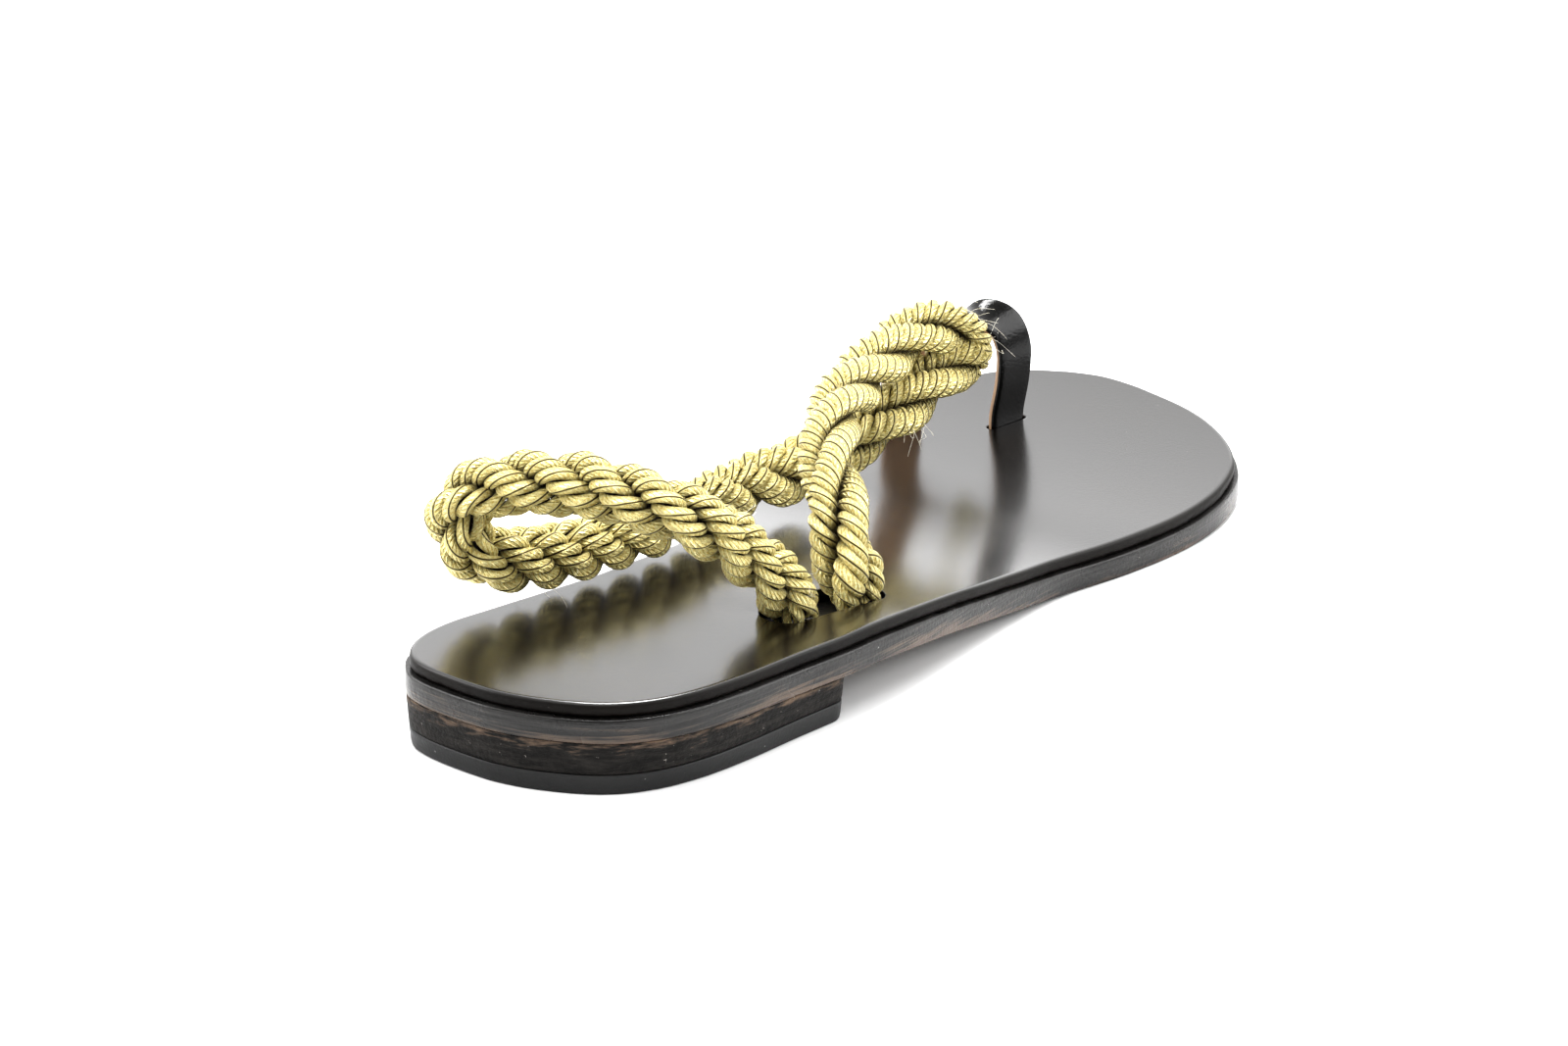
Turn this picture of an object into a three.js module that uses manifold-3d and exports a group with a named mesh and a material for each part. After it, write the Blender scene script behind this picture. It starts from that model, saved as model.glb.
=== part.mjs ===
// Right flat sandal with a leather sole, a low stacked heel, a leather toe ring and an upper of three-ply rope.
// Millimetres. +Y runs from heel to toe, +X to the little toe, +Z up. The origin is on the floor, under the
// middle of the sole.

import * as THREE from 'three';
import { mergeVertices } from 'three/addons/utils/BufferGeometryUtils.js';
import Module from 'manifold-3d';

const wasm = await Module();
wasm.setup();

// Sole
const soleLength = 257;
const soleWidth = 92;
const footbedThickness = 3.0;
const outsoleThickness = 5.5;
const outsoleLip = 1.1;
const footbedEdgeRadius = 1.1;
const outsoleEdgeRadius = 0.9;
const toeSpring = 4.0;
const treadStart = 168;
const springStart = 187;
const soleStations = 38;

// Heel
const heelHeightRear = 12.3;
const heelHeightBreast = 10.3;
const heelLength = 70.5;
const heelCornerRadius = 5;
const heelTaper = 0.9;
const topPieceThickness = 4.6;
const topPieceChamfer = 0.7;
const heelStations = 18;
const cornerSteps = 4;

// Toe ring, a leather strip bent into an arch over the big toe
const ringRise = 28.4;
const ringStripWidth = 9.8;
const ringStripThickness = 2.6;
const ringSteps = 26;

// Rope
const ropeDiameter = 13.6;
const ropeRise = 34;
const loopStrandPhase = 0.9;
const lateralStrandPhase = 0.6;
const ropeStep = 3.5;
const ropeSides = 18;
const ropeValley = 0.62;

// Fits
const layerGap = 0.3;
const slotClearance = 0.5;
const slotFloorGap = 0.9;
const slotSpare = 3.0;
const slotCurveSteps = 8;
const slotOverrun = 8;

const soleThickness = footbedThickness + layerGap + outsoleThickness;

// Footbed outline: along is a share of soleLength, lateral and medial are shares of soleWidth measured from the
// heel's centre line.
const outlineRows = [
  { along: 0.000, lateral: -0.045, medial: 0.045 },
  { along: 0.010, lateral: 0.100, medial: 0.255 },
  { along: 0.030, lateral: 0.220, medial: 0.335 },
  { along: 0.060, lateral: 0.300, medial: 0.375 },
  { along: 0.100, lateral: 0.353, medial: 0.378 },
  { along: 0.150, lateral: 0.388, medial: 0.348 },
  { along: 0.210, lateral: 0.415, medial: 0.309 },
  { along: 0.280, lateral: 0.448, medial: 0.268 },
  { along: 0.360, lateral: 0.468, medial: 0.250 },
  { along: 0.450, lateral: 0.468, medial: 0.296 },
  { along: 0.530, lateral: 0.470, medial: 0.345 },
  { along: 0.600, lateral: 0.487, medial: 0.378 },
  { along: 0.680, lateral: 0.548, medial: 0.402 },
  { along: 0.750, lateral: 0.585, medial: 0.412 },
  { along: 0.810, lateral: 0.590, medial: 0.408 },
  { along: 0.860, lateral: 0.565, medial: 0.398 },
  { along: 0.900, lateral: 0.515, medial: 0.396 },
  { along: 0.940, lateral: 0.415, medial: 0.372 },
  { along: 0.970, lateral: 0.285, medial: 0.300 },
  { along: 0.990, lateral: 0.120, medial: 0.180 },
  { along: 1.000, lateral: -0.040, medial: 0.040 },
];

// Rope routes: along is a share of soleLength, across a share of soleWidth, above a share of ropeRise over the
// footbed, girth a share of ropeDiameter, lay the millimetres of rope in which its plies turn once. The loop
// strand leaves the slot, turns behind the heel, lies along the medial edge and rises to the toe ring.
const loopStrandRoute = [
  { along: 0.294, across: 0.249, above: 0.059, girth: 0.84, lay: 44 },
  { along: 0.269, across: 0.237, above: 0.291, girth: 1.00, lay: 42 },
  { along: 0.244, across: 0.211, above: 0.491, girth: 1.02, lay: 40 },
  { along: 0.215, across: 0.184, above: 0.691, girth: 1.04, lay: 39 },
  { along: 0.193, across: 0.131, above: 0.829, girth: 1.05, lay: 38 },
  { along: 0.177, across: 0.026, above: 0.918, girth: 1.07, lay: 37 },
  { along: 0.170, across: -0.097, above: 0.941, girth: 1.08, lay: 37 },
  { along: 0.157, across: -0.210, above: 0.924, girth: 1.08, lay: 37 },
  { along: 0.143, across: -0.317, above: 0.871, girth: 1.07, lay: 37 },
  { along: 0.132, across: -0.372, above: 0.781, girth: 1.07, lay: 36 },
  { along: 0.130, across: -0.400, above: 0.606, girth: 1.07, lay: 33 },
  { along: 0.138, across: -0.387, above: 0.429, girth: 1.07, lay: 31 },
  { along: 0.151, across: -0.340, above: 0.335, girth: 1.07, lay: 30 },
  { along: 0.184, across: -0.296, above: 0.291, girth: 1.07, lay: 30 },
  { along: 0.225, across: -0.262, above: 0.265, girth: 1.06, lay: 30 },
  { along: 0.267, across: -0.235, above: 0.259, girth: 1.05, lay: 31 },
  { along: 0.304, across: -0.212, above: 0.259, girth: 1.04, lay: 33 },
  { along: 0.351, across: -0.202, above: 0.262, girth: 1.02, lay: 37 },
  { along: 0.411, across: -0.223, above: 0.262, girth: 1.00, lay: 42 },
  { along: 0.475, across: -0.248, above: 0.274, girth: 1.06, lay: 48 },
  { along: 0.522, across: -0.240, above: 0.290, girth: 1.13, lay: 54 },
  { along: 0.559, across: -0.217, above: 0.330, girth: 1.13, lay: 60 },
  { along: 0.588, across: -0.178, above: 0.403, girth: 1.08, lay: 64 },
  { along: 0.622, across: -0.147, above: 0.494, girth: 1.06, lay: 68 },
  { along: 0.667, across: -0.135, above: 0.570, girth: 1.09, lay: 68 },
  { along: 0.724, across: -0.138, above: 0.626, girth: 1.07, lay: 68 },
  { along: 0.774, across: -0.148, above: 0.650, girth: 1.02, lay: 68 },
  { along: 0.804, across: -0.146, above: 0.640, girth: 0.90, lay: 66 },
  { along: 0.816, across: -0.162, above: 0.640, girth: 0.74, lay: 64 },
];

const lateralStrandRoute = [
  { along: 0.361, across: 0.295, above: 0.046, girth: 0.92, lay: 78 },
  { along: 0.362, across: 0.278, above: 0.235, girth: 1.06, lay: 78 },
  { along: 0.370, across: 0.245, above: 0.441, girth: 1.08, lay: 78 },
  { along: 0.403, across: 0.165, above: 0.617, girth: 1.06, lay: 76 },
  { along: 0.452, across: 0.060, above: 0.765, girth: 1.04, lay: 74 },
  { along: 0.534, across: -0.057, above: 0.907, girth: 1.02, lay: 70 },
  { along: 0.623, across: -0.138, above: 0.945, girth: 1.07, lay: 68 },
  { along: 0.700, across: -0.178, above: 0.970, girth: 1.06, lay: 68 },
  { along: 0.758, across: -0.168, above: 0.965, girth: 1.02, lay: 68 },
  { along: 0.793, across: -0.142, above: 0.865, girth: 0.94, lay: 66 },
  { along: 0.809, across: -0.146, above: 0.720, girth: 0.85, lay: 66 },
  { along: 0.817, across: -0.162, above: 0.580, girth: 0.74, lay: 64 },
];

// Toe ring centre line: along, across and above as on the ropes, above being a share of ringRise. turn is the
// angle in degrees between +X and the strip's width. Like the ropes, it goes on down into its slots.
const ringRows = [
  { along: 0.8625, across: -0.122, above: 0.080, turn: 72 },
  { along: 0.8650, across: -0.109, above: 0.420, turn: 72 },
  { along: 0.8660, across: -0.110, above: 0.700, turn: 70 },
  { along: 0.8620, across: -0.137, above: 0.900, turn: 67 },
  { along: 0.8440, across: -0.195, above: 1.000, turn: 63 },
  { along: 0.8240, across: -0.270, above: 0.930, turn: 60 },
  { along: 0.8060, across: -0.325, above: 0.730, turn: 57 },
  { along: 0.7990, across: -0.346, above: 0.430, turn: 55 },
  { along: 0.7980, across: -0.338, above: 0.080, turn: 55 },
];

const leatherBlack = new THREE.MeshStandardMaterial({ name: 'footbed_leather', color: 0x1b1a19, roughness: 0.22 });
const soleEdge = new THREE.MeshStandardMaterial({ name: 'outsole_leather', color: 0x2e2b29, roughness: 0.5 });
const liftLeather = new THREE.MeshStandardMaterial({ name: 'heel_lift_leather', color: 0x1d1c1b, roughness: 0.8 });
const heelRubber = new THREE.MeshStandardMaterial({ name: 'heel_rubber', color: 0x262626, roughness: 0.55 });
const ringLeather = new THREE.MeshStandardMaterial({ name: 'ring_leather', color: 0x191817, roughness: 0.3 });
const ropeGold = new THREE.MeshStandardMaterial({
  name: 'rope_yarn', color: 0xd9c77a, roughness: 0.4, metalness: 0.5,
});

// Catmull-Rom value between b and c, at the share t of the way.
function between(a, b, c, d, t) {
  const bend = 2 * a - 5 * b + 4 * c - d;
  const twist = 3 * b - a - 3 * c + d;
  return b + 0.5 * t * (c - a + t * (bend + t * twist));
}

// A smooth value of a table's column at the place x, where the rows' places are given by placeOf.
function tableValue(rows, placeOf, column, x) {
  let i = 0;
  while (i < rows.length - 2 && placeOf(rows[i + 1]) < x) i += 1;
  const first = rows[Math.max(i - 1, 0)];
  const last = rows[Math.min(i + 2, rows.length - 1)];
  const from = placeOf(rows[i]);
  const t = THREE.MathUtils.clamp((x - from) / (placeOf(rows[i + 1]) - from), 0, 1);
  return between(first[column], rows[i][column], rows[i + 1][column], last[column], t);
}

// The round ends of the outline need closer places there, so a place is an angle: 0 at the heel, pi at the toe.
const angleOf = (share) => Math.acos(1 - 2 * THREE.MathUtils.clamp(share, 0, 1));
const shareAt = (angle) => (1 - Math.cos(angle)) / 2;

function halfWidth(side, y) {
  const angle = angleOf(y / soleLength);
  return soleWidth * tableValue(outlineRows, (row) => angleOf(row.along), side, angle);
}

// Underside of the outsole: the heel seat, a smooth fall through the waist, a flat tread and the toe spring.
function undersideAt(y) {
  if (y < heelLength) return THREE.MathUtils.lerp(heelHeightRear, heelHeightBreast, y / heelLength);
  if (y < treadStart) {
    const fall = (y - heelLength) / (treadStart - heelLength);
    return heelHeightBreast * (0.5 + 0.5 * Math.cos(Math.PI * fall));
  }
  const rise = Math.max(y - springStart, 0) / (soleLength - springStart);
  return toeSpring * rise * rise;
}

const footbedTopAt = (y) => undersideAt(y) + soleThickness;
const footbedBottomAt = (y) => footbedTopAt(y) - footbedThickness;
const outsoleTopAt = (y) => undersideAt(y) + outsoleThickness;

// Stations from heel to toe, closer at both ends.
const soleYs = Array.from({ length: soleStations + 1 }, (_, i) => soleLength * shareAt(Math.PI * i / soleStations));

// The heel's stations end with a rounded corner at the breast.
const heelStraight = heelLength - heelCornerRadius;
const heelYs = [
  ...Array.from({ length: heelStations + 1 }, (_, i) => heelStraight * shareAt(Math.PI * i / heelStations / 2) * 2),
  ...Array.from({ length: cornerSteps }, (_, i) => (
    heelStraight + heelCornerRadius * Math.sin(Math.PI / 2 * (i + 1) / cornerSteps))),
];

function heelHalfWidth(side, y) {
  const inCorner = Math.max(y - heelStraight, 0);
  const cut = heelCornerRadius - Math.sqrt(Math.max(heelCornerRadius ** 2 - inCorner ** 2, 0));
  return halfWidth(side, y) - cut;
}

// A closed ring of plan points: up the medial side and back down the lateral side.
function planRing(ys, widthOf, pointedToe) {
  const inner = ys.slice(1, pointedToe ? -1 : undefined);
  const heelTip = new THREE.Vector2((widthOf('lateral', 0) - widthOf('medial', 0)) / 2, 0);
  const medial = inner.map((y) => new THREE.Vector2(-widthOf('medial', y), y));
  const lateral = inner.map((y) => new THREE.Vector2(widthOf('lateral', y), y)).reverse();
  const toe = ys[ys.length - 1];
  const toeTip = new THREE.Vector2((widthOf('lateral', toe) - widthOf('medial', toe)) / 2, toe);
  return pointedToe ? [heelTip, ...medial, toeTip, ...lateral] : [heelTip, ...medial, ...lateral];
}

// The ring moved outward by grow along its own normals.
function grownRing(ring, grow) {
  return ring.map((point, i) => {
    const before = ring[(i + ring.length - 1) % ring.length];
    const after = ring[(i + 1) % ring.length];
    const normal = new THREE.Vector2(before.y - after.y, after.x - before.x).normalize();
    return point.clone().addScaledVector(normal, grow);
  });
}

function geometryOf(positions, faces) {
  const geometry = new THREE.BufferGeometry();
  geometry.setAttribute('position', new THREE.Float32BufferAttribute(positions, 3));
  geometry.setIndex(faces);
  return geometry;
}

// A closed layer from rings stacked upward, each with its own growth and height. The caps are strips of chords
// from side to side, so that they follow the sole's own curve.
function layerGeometry(ring, levels, pointedToe) {
  const count = ring.length;
  const positions = [];
  const faces = [];
  for (const level of levels) {
    for (const point of grownRing(ring, level.grow)) positions.push(point.x, point.y, level.heightAt(point.y));
  }
  for (let k = 0; k < levels.length - 1; k += 1) {
    for (let i = 0; i < count; i += 1) {
      const a = k * count + i;
      const b = k * count + (i + 1) % count;
      faces.push(b, a, a + count, b, a + count, b + count);
    }
  }
  const top = (levels.length - 1) * count;
  const rows = Math.floor((count - 1) / 2);
  faces.push(0, 1, count - 1, top, top + count - 1, top + 1);
  for (let i = 1; i < rows; i += 1) {
    const left = i;
    const right = count - i;
    faces.push(left, left + 1, right - 1, left, right - 1, right);
    faces.push(top + left, top + right - 1, top + left + 1, top + left, top + right, top + right - 1);
  }
  if (pointedToe) {
    faces.push(rows, rows + 1, rows + 2, top + rows, top + rows + 2, top + rows + 1);
  }
  return geometryOf(positions, faces);
}

const soleRing = planRing(soleYs, halfWidth, true);
const heelRing = planRing(heelYs, heelHalfWidth, false);

// The footbed's slots

const alongSole = (share) => share * soleLength;
const acrossSole = (share) => share * soleWidth;
const planOf = (row) => new THREE.Vector2(acrossSole(row.across), alongSole(row.along));

// An upright prism with round ends, centred between two plan points, that cuts the footbed through.
function slotGeometry(from, to, width, spare) {
  const half = from.distanceTo(to) / 2 + spare;
  const radius = width / 2;
  const shape = new THREE.Shape();
  shape.absarc(half - radius, 0, radius, -Math.PI / 2, Math.PI / 2, false);
  shape.absarc(radius - half, 0, radius, Math.PI / 2, 3 * Math.PI / 2, false);
  const middle = from.clone().add(to).multiplyScalar(0.5);
  const depth = footbedThickness + 2 * slotOverrun;
  const geometry = new THREE.ExtrudeGeometry(shape, { depth, bevelEnabled: false, curveSegments: slotCurveSteps });
  geometry.rotateZ(Math.atan2(to.y - from.y, to.x - from.x));
  geometry.translate(middle.x, middle.y, footbedBottomAt(middle.y) - slotOverrun);
  return geometry;
}

function ropeSlot(firstEnd, secondEnd) {
  const girth = Math.max(firstEnd.girth, secondEnd.girth);
  const width = ropeDiameter * girth + 2 * slotClearance;
  return slotGeometry(planOf(firstEnd), planOf(secondEnd), width, width / 2 + slotSpare);
}

function ringSlot(row) {
  const middle = planOf(row);
  const turn = THREE.MathUtils.degToRad(row.turn);
  const reach = new THREE.Vector2(Math.cos(turn), Math.sin(turn)).multiplyScalar(ringStripWidth / 2);
  const width = ringStripThickness + 2 * slotClearance;
  return slotGeometry(middle.clone().sub(reach), middle.clone().add(reach), width, width / 2);
}

// Sweeps

// Where a route's row lies, and the point straight under it at the bottom of its slot.
function routePoint(row, rise) {
  const plan = planOf(row);
  return new THREE.Vector3(plan.x, plan.y, footbedTopAt(plan.y) + row.above * rise);
}

function slotPoint(row) {
  const plan = planOf(row);
  return new THREE.Vector3(plan.x, plan.y, footbedBottomAt(plan.y) + slotFloorGap);
}

// A route: its curve, and the rows that belong to the curve's own points.
function routeOf(rows, rise, slotAtEnd) {
  const last = rows[rows.length - 1];
  const points = [slotPoint(rows[0]), ...rows.map((row) => routePoint(row, rise))];
  const pointRows = [rows[0], ...rows];
  if (slotAtEnd) {
    points.push(slotPoint(last));
    pointRows.push(last);
  }
  return { curve: new THREE.CatmullRomCurve3(points, false, 'centripetal'), rows: pointRows };
}

// A column of the rows at the share u of the curve's length.
function rowValue(route, column, u) {
  const place = route.curve.getUtoTmapping(u) * (route.rows.length - 1);
  const i = Math.min(Math.floor(place), route.rows.length - 2);
  return THREE.MathUtils.lerp(route.rows[i][column], route.rows[i + 1][column], place - i);
}

// A closed solid through rings of equal size, turned counter-clockwise about the way they run, with flat ends.
function sweptGeometry(rings) {
  const sides = rings[0].length;
  const positions = [];
  const faces = [];
  for (const point of rings.flat()) positions.push(point.x, point.y, point.z);
  for (let k = 0; k < rings.length - 1; k += 1) {
    for (let i = 0; i < sides; i += 1) {
      const a = k * sides + i;
      const b = k * sides + (i + 1) % sides;
      faces.push(a, b, b + sides, a, b + sides, a + sides);
    }
  }
  const ends = [rings[0], rings[rings.length - 1]];
  ends.forEach((ring, end) => {
    const middle = positions.length / 3;
    const first = end * (rings.length - 1) * sides;
    const centre = ring.reduce((sum, point) => sum.add(point), new THREE.Vector3()).divideScalar(sides);
    positions.push(centre.x, centre.y, centre.z);
    for (let i = 0; i < sides; i += 1) {
      const pair = [first + i, first + (i + 1) % sides];
      if (end === 0) pair.reverse();
      faces.push(middle, ...pair);
    }
  });
  return geometryOf(positions, faces);
}

// Three round plies that touch each other: the rope's outline, as a radius at an angle round its axis.
const plyRadius = ropeDiameter / 2 / (1 + 2 / Math.sqrt(3));
const plyOrbit = ropeDiameter / 2 - plyRadius;

function ropeRadiusAt(angle) {
  const third = 2 * Math.PI / 3;
  const off = angle - third * Math.round(angle / third);
  const depth = plyRadius ** 2 - (plyOrbit * Math.sin(off)) ** 2;
  const lobe = plyOrbit * Math.cos(off) + Math.sqrt(Math.max(depth, 0));
  return Math.max(lobe, ropeValley * ropeDiameter / 2);
}

// A rope laid right-handed: its outline turns once in each lay as it runs along the route.
function ropeGeometry(route, phase) {
  const length = route.curve.getLength();
  const steps = Math.round(length / ropeStep);
  const rings = [];
  let normal = new THREE.Vector3(1, 0, 0);
  let twist = phase;
  for (let k = 0; k <= steps; k += 1) {
    const u = k / steps;
    const centre = route.curve.getPointAt(u);
    const tangent = route.curve.getTangentAt(u);
    normal = normal.clone().addScaledVector(tangent, -normal.dot(tangent)).normalize();
    const side = new THREE.Vector3().crossVectors(tangent, normal);
    if (k > 0) twist += 2 * Math.PI * length / steps / rowValue(route, 'lay', (k - 0.5) / steps);
    const girth = rowValue(route, 'girth', u);
    rings.push(Array.from({ length: ropeSides }, (_, i) => {
      const angle = 2 * Math.PI * i / ropeSides;
      const radius = girth * ropeRadiusAt(angle);
      return centre.clone()
        .addScaledVector(normal, radius * Math.cos(angle + twist))
        .addScaledVector(side, radius * Math.sin(angle + twist));
    }));
  }
  return sweptGeometry(rings);
}

// The toe ring: a flat strip whose width keeps the turn of its rows while its thickness follows the arch.
function ringGeometry(route) {
  const rings = [];
  for (let k = 0; k <= ringSteps; k += 1) {
    const u = k / ringSteps;
    const centre = route.curve.getPointAt(u);
    const tangent = route.curve.getTangentAt(u);
    const turn = THREE.MathUtils.degToRad(rowValue(route, 'turn', u));
    const across = new THREE.Vector3(Math.cos(turn), Math.sin(turn), 0);
    across.addScaledVector(tangent, -across.dot(tangent)).normalize().multiplyScalar(ringStripWidth / 2);
    const out = new THREE.Vector3().crossVectors(tangent, across).normalize().multiplyScalar(ringStripThickness / 2);
    rings.push([[1, 1], [-1, 1], [-1, -1], [1, -1]].map(([a, b]) => (
      centre.clone().addScaledVector(across, a).addScaledVector(out, b))));
  }
  return sweptGeometry(rings);
}

// Solids for cutting and joining

function solidOf(geometry) {
  const bare = geometry.clone();
  bare.deleteAttribute('normal');
  bare.deleteAttribute('uv');
  const merged = mergeVertices(bare);
  const vertProperties = new Float32Array(merged.attributes.position.array);
  const triVerts = new Uint32Array(merged.index.array);
  return new wasm.Manifold(new wasm.Mesh({ numProp: 3, vertProperties, triVerts }));
}

function geometryOfSolid(solid) {
  const mesh = solid.getMesh();
  return geometryOf(Array.from(mesh.vertProperties), Array.from(mesh.triVerts));
}

// Each vertex gets the lowest index that it is joined to by faces, which names the shell that it is in.
function shellNames(geometry) {
  const faces = geometry.index.array;
  const names = Array.from({ length: geometry.attributes.position.count }, (_, i) => i);
  let changed = true;
  while (changed) {
    changed = false;
    for (let i = 0; i < faces.length; i += 3) {
      const corners = [faces[i], faces[i + 1], faces[i + 2]];
      const lowest = Math.min(...corners.map((corner) => names[corner]));
      for (const corner of corners) {
        changed ||= names[corner] > lowest;
        names[corner] = lowest;
      }
    }
  }
  return names;
}

// The largest shell alone: small hollows shut in between joined ropes are filled.
function outerShell(geometry) {
  const names = shellNames(geometry);
  const sizes = new Map();
  for (const name of names) sizes.set(name, (sizes.get(name) ?? 0) + 1);
  const [outer] = [...sizes.entries()].reduce((best, entry) => (entry[1] > best[1] ? entry : best));
  const faces = [];
  const all = geometry.index.array;
  for (let i = 0; i < all.length; i += 3) {
    if (names[all[i]] === outer) faces.push(all[i], all[i + 1], all[i + 2]);
  }
  return geometryOf(Array.from(geometry.attributes.position.array), faces);
}

// The pieces

const loopStrand = routeOf(loopStrandRoute, ropeRise, false);
const lateralStrand = routeOf(lateralStrandRoute, ropeRise, false);
const toeRing = routeOf(ringRows, ringRise, true);

function footbedGeometry() {
  const corner = (angle) => ({
    grow: footbedEdgeRadius * (Math.cos(angle) - 1),
    heightAt: (y) => footbedTopAt(y) - footbedEdgeRadius * (1 - Math.sin(angle)),
  });
  const levels = [
    { grow: 0, heightAt: footbedBottomAt },
    corner(0),
    corner(Math.PI / 4),
    corner(Math.PI / 2),
  ];
  const slots = [
    ropeSlot(loopStrandRoute[0], lateralStrandRoute[0]),
    ringSlot(ringRows[0]),
    ringSlot(ringRows[ringRows.length - 1]),
  ];
  const whole = solidOf(layerGeometry(soleRing, levels, true));
  return geometryOfSolid(slots.reduce((solid, slot) => solid.subtract(solidOf(slot)), whole));
}

function outsoleGeometry() {
  return layerGeometry(soleRing, [
    { grow: outsoleLip - outsoleEdgeRadius, heightAt: undersideAt },
    { grow: outsoleLip, heightAt: (y) => undersideAt(y) + outsoleEdgeRadius },
    { grow: outsoleLip, heightAt: outsoleTopAt },
  ], true);
}

function heelLiftGeometry() {
  return layerGeometry(heelRing, [
    { grow: outsoleLip - heelTaper / 2, heightAt: () => topPieceThickness + layerGap },
    { grow: outsoleLip, heightAt: (y) => undersideAt(y) - layerGap },
  ], false);
}

function heelTopPieceGeometry() {
  return layerGeometry(heelRing, [
    { grow: outsoleLip - heelTaper - topPieceChamfer, heightAt: () => 0 },
    { grow: outsoleLip - heelTaper, heightAt: () => topPieceChamfer },
    { grow: outsoleLip - heelTaper / 2, heightAt: () => topPieceThickness },
  ], false);
}

// One rope with both ends in the lateral slot, doubled under the ring: its strands are joined where they touch.
function ropeUpperGeometry() {
  const loop = solidOf(ropeGeometry(loopStrand, loopStrandPhase));
  const lateral = solidOf(ropeGeometry(lateralStrand, lateralStrandPhase));
  return outerShell(geometryOfSolid(loop.add(lateral)));
}

function meshOf(name, geometry, material) {
  const mesh = new THREE.Mesh(geometry, material);
  mesh.name = name;
  return mesh;
}

const sandal = new THREE.Group();
sandal.name = 'right_flat_sandal';
sandal.add(
  meshOf('footbed', footbedGeometry(), leatherBlack),
  meshOf('outsole', outsoleGeometry(), soleEdge),
  meshOf('heel_lift', heelLiftGeometry(), liftLeather),
  meshOf('heel_top_piece', heelTopPieceGeometry(), heelRubber),
  meshOf('toe_ring', ringGeometry(toeRing), ringLeather),
  meshOf('rope_upper', ropeUpperGeometry(), ropeGold),
);

// The origin goes to the floor under the middle of the whole sandal.
const middle = new THREE.Box3().setFromObject(sandal).getCenter(new THREE.Vector3());
sandal.position.set(-middle.x, -middle.y, 0);

export default sandal;
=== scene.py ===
import bpy
import numpy as np
from mathutils import Matrix, Vector
from mathutils.geometry import delaunay_2d_cdt


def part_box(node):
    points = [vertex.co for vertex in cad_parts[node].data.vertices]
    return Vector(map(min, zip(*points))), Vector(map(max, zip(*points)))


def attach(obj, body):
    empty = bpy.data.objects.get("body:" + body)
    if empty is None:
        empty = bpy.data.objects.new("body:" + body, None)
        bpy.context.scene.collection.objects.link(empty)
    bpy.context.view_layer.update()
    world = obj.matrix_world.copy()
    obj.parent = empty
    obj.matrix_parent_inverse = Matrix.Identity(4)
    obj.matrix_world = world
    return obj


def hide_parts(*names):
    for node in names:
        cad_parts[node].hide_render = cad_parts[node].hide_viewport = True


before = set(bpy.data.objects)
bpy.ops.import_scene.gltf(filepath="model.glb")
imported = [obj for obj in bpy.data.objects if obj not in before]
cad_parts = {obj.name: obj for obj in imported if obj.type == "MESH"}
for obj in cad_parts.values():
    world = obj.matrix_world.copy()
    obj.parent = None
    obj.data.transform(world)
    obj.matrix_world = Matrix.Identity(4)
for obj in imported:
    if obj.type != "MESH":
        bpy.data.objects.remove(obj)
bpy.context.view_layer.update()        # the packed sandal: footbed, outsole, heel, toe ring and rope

mm = 0.001

# The sandal's own sizes, in millimetres, x from the heel's centre line, y from the heel's end
sandal = dict(length=257.0, width=92.0, footbed=3.0, outsole=5.5, gap=0.3, lip=1.1,
              heelRear=12.3, heelBreast=10.3, heelLength=70.5, heelCorner=5.0, heelTaper=0.9,
              topPiece=4.6, treadStart=168.0, springStart=187.0, toeSpring=4.0)
soleThickness = sandal["footbed"] + sandal["gap"] + sandal["outsole"]

# along, lateral, medial
outline = np.array([
    (0.000, -0.045, 0.045), (0.010, 0.100, 0.255), (0.030, 0.220, 0.335), (0.060, 0.300, 0.375),
    (0.100, 0.353, 0.378), (0.150, 0.388, 0.348), (0.210, 0.415, 0.309), (0.280, 0.448, 0.268),
    (0.360, 0.468, 0.250), (0.450, 0.468, 0.296), (0.530, 0.470, 0.345), (0.600, 0.487, 0.378),
    (0.680, 0.548, 0.402), (0.750, 0.585, 0.412), (0.810, 0.590, 0.408), (0.860, 0.565, 0.398),
    (0.900, 0.515, 0.396), (0.940, 0.415, 0.372), (0.970, 0.285, 0.300), (0.990, 0.120, 0.180),
    (1.000, -0.040, 0.040)])

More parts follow.
